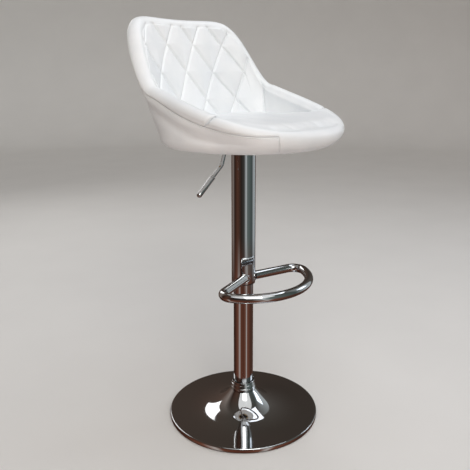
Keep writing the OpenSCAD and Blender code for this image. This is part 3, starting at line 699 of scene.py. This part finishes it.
class STOOL_OT_lining(bpy.types.Operator):
    """Padded lining of the arms and back, quilted in diamonds and rolled over the rim"""
    bl_idname = "stool.lining"
    bl_label = "Quilted lining"

    def execute(self, context):
        sizes = context.scene.stool_sizes
        width, height, depth = sizes.quilt_width / MM, sizes.quilt_height / MM, sizes.quilt_depth / MM
        nt = 400
        even = np.linspace(-1, 1, nt)
        rows, turns = [], []

        def turn(s):
            """Directions of a row; the joint with the cushion slants forwards up the roll, s from 0 to 1."""
            start = ARM_START - JOINT_SLANT * s
            return math.pi + even * (math.pi - start)

        def row(t, r, z):
            # the ends are drawn down a little where they are sewn to the cushion's cover
            tie = JOINT_PINCH * np.exp(-((1 - np.abs(even)) * 400 / JOINT_PINCH_W) ** 2)
            rows.append(np.stack([r - tie * smooth((r - rim_r(t) + 2) / 6),
                                  z - tie * smooth((z - rim_z(t)) / 8)], axis=-1))
            turns.append(t)

        # outside and over the roll, from the seam to its inner side
        begin = np.arcsin(np.clip((seam_z(turn(0)) - rim_z(turn(0))) / ROLL_R, -1, 1))
        for i in range(36):
            s = i / 35
            t = turn(min(1, s * 1.6))
            crest = rim_z(t)
            a = begin + (math.pi - begin) * s
            over = crest + ROLL_R * np.sin(np.clip(a, 0, math.pi))
            z = np.where(a < 0, crest + (seam_z(t) - crest) * np.clip(a / np.minimum(begin, -1e-6), 0, 1), over)
            pinch = SEAM_PINCH * math.exp(-(s * 70 / 2.4) ** 2)
            r = np.where(a < 0, outer_r(t, z), rim_r(t) + ROLL_R * np.cos(a))
            row(t, r - pinch, z)
        top_row = len(rows) - 1
        t = turn(1)
        crest, edge = rim_z(t), edge_z(t)
        # inner face, from the roll down to the hem under the cushion
        steps = 120
        for i in range(1, steps + 1):
            s = i / steps
            z = crest + (PAD_LOW_Z - crest) * s
            ease = 1 - math.exp(-s * 3.2)
            row(t, wall_r(t, z, 36 - 8.0 * ease), z)
        hem_row = len(rows) - 1
        # hidden side: hem, foam against the shell, over the shell's edge and back to the seam
        row(t, wall_r(t, PAD_LOW_Z - 0.5, 22), PAD_LOW_Z - 1.5 + 0 * t)
        row(t, wall_r(t, PAD_LOW_Z, 14), PAD_LOW_Z + 0 * t)
        row(t, wall_r(t, (PAD_LOW_Z + edge) / 2, 14), (PAD_LOW_Z + edge) / 2)
        row(t, wall_r(t, edge + 1.2, 14), edge + 1.2)
        t = turn(0)
        row(t, wall_r(t, edge_z(t) + 1.2, COVER_T), edge_z(t) + 1.2)
        row(t, outer_r(t, seam_z(t), COVER_T), seam_z(t) + 0.4)
        grid = np.stack(rows, axis=1)                       # direction, row, (r, z)
        points = place(np.stack(turns, axis=1), grid[:, :, 0], grid[:, :, 1])
        t = turn(1)

        # quilting is sewn by arc length round the wall and height up it
        middle = nt // 2
        inner = slice(top_row - 8, hem_row + 1)
        face = points[:, inner] / MM
        step = np.linalg.norm(np.diff(face[:, :, :2], axis=0), axis=2)
        arc = np.vstack([np.zeros(face.shape[1]), np.cumsum(step, axis=0)])
        arc = arc - arc[middle]
        rise = np.linalg.norm(np.diff(face, axis=1), axis=2)
        below = np.cumsum(np.hstack([np.zeros((nt, 1)), rise]), axis=1)      # from the roll's top
        slant = (face[:, :, 2] - QUILT_FOOT_Z) * np.sqrt(1 + lean(t)[:, None] ** 2)
        k = quilt_index(arc - QUILT_OFF_MIDDLE, width)
        a, b = quilt_lines(k, QUILT_MID - slant, height)
        # distance across a seam, in mm, from its distance in diamonds
        across = width * height / math.hypot(width, height)
        near = np.minimum(a, b) * across
        groove = np.exp(-(near / GROOVE_W) ** 2)
        pillow = 1 - np.exp(-(near / PUFF_W) ** 2)
        border = smooth((below - 6.0) / 12.0)
        hem = smooth((hem_row - top_row + 8 - np.arange(face.shape[1])) / 12.0)[None, :]
        lift = (pillow * QUILT_PUFF - groove * depth) * border * hem
        normals = np.cross(np.gradient(face, axis=0), np.gradient(face, axis=1))
        normals /= np.linalg.norm(normals, axis=2, keepdims=True) + 1e-9
        points[:, inner] += normals * lift[:, :, None] * MM
        obj = grid_object("quilted_lining", points, False, True)
        finish_mesh(obj, 60)
        settle(obj, "quilted_lining", "seat", "leatherette", MATERIALS["leather"], "back_pad", "rim_bolster")
        return {"FINISHED"}


class STOOL_OT_cushion(bpy.types.Operator):
    """Seat cushion that rolls over the front edge"""
    bl_idname = "stool.cushion"
    bl_label = "Cushion"

    def execute(self, context):
        nt = 240
        t = np.linspace(-math.pi, math.pi, nt, endpoint=False)
        crest, edge, seam = rim_z(t), edge_z(t), seam_z(t)
        rows = []

        def row(front_r, front_z, side_r, side_z, up=0.0):
            # blends from the rolled front to the tucked sides just under the end of the lining
            start = ARM_START - JOINT_SLANT * min(1, up)
            away = (np.abs(t) - start) * JOINT_R
            tie = JOINT_PINCH * np.exp(-(away / JOINT_PINCH_W) ** 2) * (up > 0) + JOINT_PINCH * (away > 0)
            tuck = smooth((away - 2.0) / 6.0)
            r = (front_r - tie) + (side_r - front_r + tie) * tuck
            z = front_z + (side_z - front_z) * tuck
            rows.append(np.stack([r, z - tie * smooth((front_z - crest) / 8) * (1 - tuck)], axis=-1))

        low, side_gap = SEAT_Z + 19, 15.5                   # underside, and the cushion's set-back at the sides
        under = waist_r(t) - UNDER_ROUND + (UNDER_ROUND - 17) * math.sin(math.radians(50))
        side_top = SEAT_Z + 52.0
        under_front = np.minimum(under, wall_r(t, edge + 2, 18.5))
        row(under_front, low + 0 * t, under, low + 0 * t)
        base = np.minimum(edge + 1.6, seam)
        row(np.minimum(outer_r(t, base + 2, 16.5), under + 30), np.maximum(base, low + 1.5),
            wall_r(t, low + 12, 16), low + 12 + 0 * t)
        row(outer_r(t, seam, 12.0), np.maximum(seam - 1.0, low + 1.6),
            wall_r(t, low + 18, side_gap), low + 18 + 0 * t)
        row(outer_r(t, seam, COVER_T), seam + 0.2, wall_r(t, low + 21, side_gap), low + 21 + 0 * t)
        # the front's face from the seam up to the roll
        roll_end = math.radians(84)
        top_z = crest + ROLL_R * math.sin(roll_end)
        for i in range(20):
            s = i / 19
            # even steps in height low down and even turns over the roll
            z = np.where(seam < crest, crest + (seam - crest) * max(0.0, 1 - s * 2), seam + (top_z - seam) * s * 0.5)
            if s > 0.5:
                a0 = np.arcsin(np.clip((seam + (top_z - seam) * 0.25 - crest) / ROLL_R, 0, 1))
                a0 = np.where(seam < crest, 0.0, a0)
                a = a0 + (roll_end - a0) * (s * 2 - 1)
                z = crest + ROLL_R * np.sin(a)
            pinch = SEAM_PINCH * math.exp(-(s * 40 / 2.2) ** 2)
            side_z = low + 21 + (side_top - 8 - low - 21) * min(1, s * 2)
            side_in = side_gap
            if s > 0.5:
                side_z = side_top - 8 + 8 * math.sin((s * 2 - 1) * math.pi / 2)
                side_in = side_gap + 17.5 * (s * 2 - 1)
            row(outer_r(t, z) - pinch, z, wall_r(t, np.minimum(side_z, PAD_LOW_Z), side_in), side_z + 0 * t, 0.05 + s)
        tuck = smooth(((np.abs(t) - ARM_START + JOINT_SLANT) * JOINT_R - 2) / 6)
        # sitting surface: from the roll's top, or from the lining's foot, in to the crown
        r0, z0 = rows[-1][:, 0], rows[-1][:, 1]
        for s in np.linspace(1, 0, 34)[1:-1]:
            r = r0 * s
            dome = (1 - s ** 2.6)
            swell = 7.0 * np.clip((1 - s) / 0.16, 0, 1) ** 0.5 * s * tuck
            z = z0 + (CROWN_Z - z0) * dome + swell * (0.6 + 0.4 * tuck)
            rows.append(np.stack([r, z], axis=-1))
        grid = np.stack(rows, axis=1)
        points = place(t[:, None], grid[:, :, 0], grid[:, :, 1])
        obj = grid_object("seat_cushion_soft", points, True, False)
        # the crown and the underside are each closed with a fan of faces
        nv = points.shape[1]
        shape = bmesh.new()
        shape.from_mesh(obj.data)
        shape.verts.ensure_lookup_table()
        rings = [[shape.verts[i * nv + j] for i in range(nt)] for j in (0, nv - 1)]
        for ring, z in zip(rings, (low, None)):
            height = z * MM if z is not None else sum(v.co.z for v in ring) / nt + 0.0001
            centre = shape.verts.new((0, 0, height))
            for i in range(nt):
                shape.faces.new((ring[i], ring[(i + 1) % nt], centre))
        shape.to_mesh(obj.data)
        shape.free()
        finish_mesh(obj, 60)
        swell_cushion(obj, context.scene.stool_sizes.crown_puff)
        settle(obj, "seat_cushion_soft", "seat", "leatherette", MATERIALS["leather"], "seat_cushion")
        return {"FINISHED"}


def points_of(obj):
    """Vertex places of an object as rows of an array."""
    flat = np.empty(len(obj.data.vertices) * 3)
    obj.data.vertices.foreach_get("co", flat)
    return flat.reshape(-1, 3)


def swell_cushion(obj, cap):
    """Cloth with air pressure on a remeshed copy; the sitting surface then follows the copy."""
    soft = obj.copy()
    soft.data = obj.data.copy()
    bpy.context.scene.collection.objects.link(soft)
    pick(soft)
    remesh = soft.modifiers.new("Remesh", "REMESH")
    remesh.mode = "VOXEL"
    remesh.voxel_size = 0.006
    apply_modifiers(soft)
    before = points_of(soft)
    pins = soft.vertex_groups.new(name="pins")
    low = (SEAT_Z + 40) * MM
    pins.add([i for i, co in enumerate(before) if co[2] < low], 1.0, "REPLACE")
    cloth = soft.modifiers.new("Cloth", "CLOTH")
    cloth.settings.use_pressure = True
    cloth.settings.uniform_pressure_force = 4.0
    cloth.settings.effector_weights.gravity = 0.0
    cloth.settings.vertex_group_mass = "pins"
    cloth.settings.quality = 5
    cloth.settings.tension_stiffness = 12
    cloth.settings.compression_stiffness = 12
    cloth.settings.bending_stiffness = 0.6
    cloth.point_cache.frame_start, cloth.point_cache.frame_end = 1, 20
    for number in range(1, 21):
        bpy.context.scene.frame_set(number)
    apply_modifiers(soft)
    move = points_of(soft) - before
    size = np.linalg.norm(move, axis=1, keepdims=True)
    after = before + move * np.minimum(1, cap / np.maximum(size, 1e-9))
    soft.data.vertices.foreach_set("co", after.ravel())
    soft.data.update()
    bpy.context.scene.frame_set(1)
    tree = BVHTree.FromPolygons([tuple(v.co) for v in soft.data.vertices],
                                [tuple(p.vertices) for p in soft.data.polygons])
    for v in obj.data.vertices:
        r = math.hypot(v.co.x, v.co.y) / MM
        t = math.atan2(v.co.x, -v.co.y)
        room = float(smooth((wall_r(t, v.co.z / MM, 33.0) - r) / 22.0))
        if v.co.z < (SEAT_Z + 44) * MM or room <= 0:
            continue
        hit = tree.ray_cast(v.co + Vector((0, 0, 0.04)), Vector((0, 0, -1)), 0.08)
        if hit[0] is not None:
            v.co.z += (hit[0].z - v.co.z) * room
    obj.data.update()
    bpy.data.objects.remove(soft)


class STOOL_OT_cover(bpy.types.Operator):
    """Outer cover below the double-stitched seam"""
    bl_idname = "stool.cover"
    bl_label = "Outer cover"

    def execute(self, context):
        nt = 300
        t = np.linspace(-math.pi, math.pi, nt, endpoint=False)
        seam = seam_z(t) - 0.6
        rows = []
        inner_edge = 98.5
        for s in np.linspace(0, 1, 8):
            r = inner_edge + (waist_r(t) - UNDER_ROUND - inner_edge) * s
            rows.append((r, SEAT_Z + 0 * t))
        sides = np.exp(-((np.abs(np.abs(t) - math.radians(98)) / math.radians(36)) ** 4))
        steps = 56
        for i in range(1, steps + 1):
            s = i / steps
            z = SEAT_Z + (seam - SEAT_Z) * (1 - math.cos(s * math.pi / 2) if s < 0.5 else
                                            1 - math.cos(math.pi / 4) + math.cos(math.pi / 4) * (2 * s - 1))
            below = seam - z
            # pulled valley under the arms' padded edge, and the pinch at the seam
            valley = 3.6 * np.exp(-((below - 34) / 12.0) ** 2) * sides * smooth((z - WAIST_Z + 6) / 14)
            puff = 1.6 * np.exp(-((below - 12) / 9.0) ** 2) * sides
            pinch = SEAM_PINCH * np.exp(-(below / 2.4) ** 2) * smooth((seam - SEAT_Z - 12) / 10)
            rows.append((outer_r(t, z) + puff - valley - pinch, z))
        grid = np.stack([np.stack([r, z], axis=-1) for r, z in rows], axis=1)
        points = place(t[:, None], grid[:, :, 0], grid[:, :, 1])
        obj = grid_object("outer_cover_soft", points, True, False)
        finish_mesh(obj, 60)
        wall = obj.modifiers.new("Wall", "SOLIDIFY")
        wall.thickness = 0.003
        wall.offset = -1
        apply_modifiers(obj)
        finish_mesh(obj, 60, clean=False)
        settle(obj, "outer_cover_soft", "seat", "leatherette", MATERIALS["leather"], "outer_cover")
        return {"FINISHED"}


class STOOL_OT_stitching(bpy.types.Operator):
    """Two rows of thread along the outer seam"""
    bl_idname = "stool.stitching"
    bl_label = "Stitching"

    def execute(self, context):
        sizes = context.scene.stool_sizes
        reach = math.radians(PANEL + 1.3)
        t = np.linspace(reach, math.tau - reach, 4001)
        stitches = []
        for offset in (-3.4, 3.6):
            z = seam_z(t) + offset
            r = outer_r(t, z) + 0.3
            path = place(t, r, z)
            length = np.concatenate([[0], np.cumsum(np.linalg.norm(np.diff(path, axis=0), axis=1))])
            count = int(length[-1] / sizes.stitch_pitch)
            at = (np.arange(count) + 0.5) * length[-1] / count
            centre = np.stack([np.interp(at, length, path[:, i]) for i in range(3)], axis=1)
            ahead = np.stack([np.interp(at + 0.001, length, path[:, i]) for i in range(3)], axis=1)
            for c, d in zip(centre, ahead - centre):
                stitches.append((Vector(c), Vector(d).normalized()))
        obj = threads("seam_stitches", stitches, sizes.stitch_pitch * 0.72, sizes.thread)
        settle(obj, "seam_stitches", "seat", "leatherette", MATERIALS["thread"])
        return {"FINISHED"}


def threads(name, stitches, length, thick):
    """One stitch is modelled once, as a short drawn-out ball, and copied to every place."""
    deselect()
    bpy.ops.mesh.primitive_uv_sphere_add(segments=6, ring_count=5, radius=0.5, location=(0, 0, 0))
    one = bpy.context.object
    bpy.ops.object.mode_set(mode="EDIT")
    bpy.ops.mesh.select_all(action="SELECT")
    bpy.ops.transform.resize(value=(thick, thick, length))
    bpy.ops.object.mode_set(mode="OBJECT")
    co = np.array([v.co for v in one.data.vertices])
    faces = [tuple(p.vertices) for p in one.data.polygons]
    points, all_faces = [], []
    for k, (centre, along) in enumerate(stitches):
        turn = np.array(along.to_track_quat("Z", "Y").to_matrix())
        points.append(co @ turn.T + np.array(centre))
        all_faces += [tuple(i + k * len(co) for i in f) for f in faces]
    bpy.data.objects.remove(one)
    mesh = bpy.data.meshes.new(name)
    mesh.from_pydata(np.vstack(points).tolist(), [], all_faces)
    mesh.update()
    obj = bpy.data.objects.new(name, mesh)
    bpy.context.scene.collection.objects.link(obj)
    return finish_mesh(obj, 80, clean=False)


# ---------------------------------------------------------------------------
# Studio
# ---------------------------------------------------------------------------

class STOOL_OT_stage(bpy.types.Operator):
    """Pale floor and backdrop, softboxes and the camera"""
    bl_idname = "stool.stage"
    bl_label = "Studio"

    def execute(self, context):
        colours = context.scene.stool_colours
        pale, tree, shader = new_material("matt painted studio floor")
        coords = add(tree, "ShaderNodeTexCoord").outputs["Object"]
        shader.inputs["Roughness"].default_value = 0.75
        specks = add(tree, "ShaderNodeTexNoise", {"Scale": 3.0, "Detail": 4.0}, {"Vector": coords})
        base = tuple(colours.floor)
        ramp(tree, specks.outputs["Fac"], [(0.3, tuple(c * 0.97 for c in base)), (0.7, base)],
             shader.inputs["Base Color"])
        # floor and backdrop in one sweep, with a wide cove between them
        profile = [(10, -0.5), (5600, -0.5)]
        profile += [(5600 + 1600 * math.sin(a), 1600 - 1600 * math.cos(a)) for a in np.radians(np.arange(6, 91, 6))]
        profile += [(7200, 6000), (7300, 6000), (7300, -60), (10, -60)]
        sweep = lathe("studio_sweep", profile, 96)
        sweep.data.materials.append(pale)
        sweep.visible_glossy = False
        sweep.visible_shadow = False

        world = bpy.data.worlds.new("studio")
        context.scene.world = world
        world.use_nodes = True
        tree = world.node_tree
        background = tree.nodes["Background"]
        direction = add(tree, "ShaderNodeTexCoord").outputs["Generated"]
        turned = add(tree, "ShaderNodeMapping", {"Rotation": (0, 0, math.pi)}, {"Vector": direction})
        around = add(tree, "ShaderNodeTexGradient", {"gradient_type": "RADIAL"}, {"Vector": turned.outputs["Vector"]})
        bands = ramp(tree, around.outputs["Color"], [
            (0.0, linear("6B6560")), (0.10, linear("4A413B")), (0.22, linear("6E5A50")), (0.30, linear("A89A92")),
            (0.36, linear("3E2A22")), (0.46, linear("6A4638")), (0.56, linear("3A302B")), (0.64, linear("51504C")),
            (0.69, linear("E6EAEA")), (0.72, linear("7C8784")), (0.86, linear("56615F")), (0.93, linear("D2D8DA"))])
        # towards the floor the surroundings are a warm brown, with two pale openings
        floor_bands = ramp(tree, around.outputs["Color"], [
            (0.0, linear("6A4C40")), (0.12, linear("3A241C")), (0.30, linear("4E2F24")), (0.44, linear("8C5846")),
            (0.50, linear("D9CCC4")), (0.53, linear("7E4C3A")), (0.62, linear("6C4032")), (0.69, linear("8A5A48")),
            (0.72, linear("E2D8D2")), (0.75, linear("8A5644")), (0.90, linear("573A30")), (1.0, linear("6A4C40"))])
        split = add(tree, "ShaderNodeSeparateXYZ", links={"Vector": direction})
        down = add(tree, "ShaderNodeMapRange", {"From Min": -0.27, "From Max": -0.37}, {"Value": split.outputs["Z"]})
        sides = add(tree, "ShaderNodeMix", {"data_type": "RGBA"}, {"Factor": down.outputs["Result"]})
        tree.links.new(bands.outputs["Color"], sides.inputs["A"])
        tree.links.new(floor_bands.outputs["Color"], sides.inputs["B"])
        height = add(tree, "ShaderNodeMapRange", {"From Min": 0.45, "From Max": 0.95}, {"Value": split.outputs["Z"]})
        sky = add(tree, "ShaderNodeMix", {"data_type": "RGBA", "B": (*linear("575049"), 1)},
                  {"Factor": height.outputs["Result"]})
        tree.links.new(sides.outputs["Result"], sky.inputs["A"])
        tree.links.new(sky.outputs["Result"], background.inputs["Color"])
        background.inputs["Strength"].default_value = 0.8

        for name, place_at, size, power, colour in (
                ("key", (-1.6, -2.2, 2.6), 1.5, 42, "FFFBF6"),
                ("top", (0.5, -0.2, 3.0), 1.8, 26, "F4F8FF"),
                ("fill", (2.6, -1.4, 1.6), 1.0, 9, "EAF2FF"),
                ("rim", (0.6, 2.6, 1.9), 1.2, 12, "FFFFFF"),
                ("warm", (-1.1, -0.9, 0.2), 0.5, 2.2, "E0A890")):
            data = bpy.data.lights.new(name, "AREA")
            data.shape = "RECTANGLE"
            data.size, data.size_y = size, size * 1.2
            data.energy = power
            data.color = linear(colour)
            lamp = bpy.data.objects.new("light_" + name, data)
            context.scene.collection.objects.link(lamp)
            lamp.location = place_at
            lamp.visible_glossy = name != "warm"
            aim = Vector((0, 0, 0.65)) - Vector(place_at)
            lamp.rotation_euler = aim.to_track_quat("-Z", "Y").to_euler()

        # a broad soft sun evens out the sweep
        data = bpy.data.lights.new("even", "SUN")
        data.energy, data.angle = 0.75, math.radians(60)
        even = bpy.data.objects.new("light_even", data)
        context.scene.collection.objects.link(even)
        even.rotation_euler = (math.radians(38), 0, math.radians(-35))
        context.scene.view_settings.view_transform = "Standard"

        azimuth, elevation, roll = math.radians(-47.7156), math.radians(11.5105), math.radians(0.0476)
        data = bpy.data.cameras.new("camera")
        data.sensor_width = 36.0
        data.lens = 46.8111
        data.shift_x, data.shift_y = -0.0181, -0.09
        camera = bpy.data.objects.new("camera", data)
        context.scene.collection.objects.link(camera)
        flat = math.cos(elevation)
        back = Vector((math.sin(azimuth) * flat, -math.cos(azimuth) * flat, math.sin(elevation)))
        target = Vector((0, 0, 0.589749))
        camera.location = target + back * 1.512158
        right = Vector((math.cos(azimuth), math.sin(azimuth), 0))
        up = back.cross(right)
        right, up = right * math.cos(roll) + up * math.sin(roll), up * math.cos(roll) - right * math.sin(roll)
        camera.rotation_euler = Matrix((right, up, back)).transposed().to_euler()
        context.scene.camera = camera
        return {"FINISHED"}


class STOOL_PT_panel(bpy.types.Panel):
    """Lists the stool's sizes, colours and pieces"""
    bl_idname = "STOOL_PT_panel"
    bl_label = "Bar stool"
    bl_space_type = "VIEW_3D"
    bl_region_type = "UI"
    bl_category = "Bar stool"

    def draw(self, context):
        for group in (context.scene.stool_sizes, context.scene.stool_colours):
            for name in group.__annotations__:
                self.layout.prop(group, name)
        for step in STEPS:
            self.layout.operator("stool." + step)


STEPS = ("materials", "base", "column", "footrest", "lever", "lining", "cushion", "cover", "stitching", "stage")
CLASSES = (StoolSizes, StoolColours, STOOL_OT_materials, STOOL_OT_base, STOOL_OT_column, STOOL_OT_footrest,
           STOOL_OT_lever, STOOL_OT_lining, STOOL_OT_cushion, STOOL_OT_cover, STOOL_OT_stitching, STOOL_OT_stage,
           STOOL_PT_panel)


def register():
    for cls in CLASSES:
        bpy.utils.register_class(cls)
    bpy.types.Scene.stool_sizes = PointerProperty(type=StoolSizes)
    bpy.types.Scene.stool_colours = PointerProperty(type=StoolColours)


def unregister():
    del bpy.types.Scene.stool_colours
    del bpy.types.Scene.stool_sizes
    for cls in reversed(CLASSES):
        bpy.utils.unregister_class(cls)


def main():
    register()
    for step in STEPS:
        getattr(bpy.ops.stool, step)()


if __name__ == "__main__":
    main()
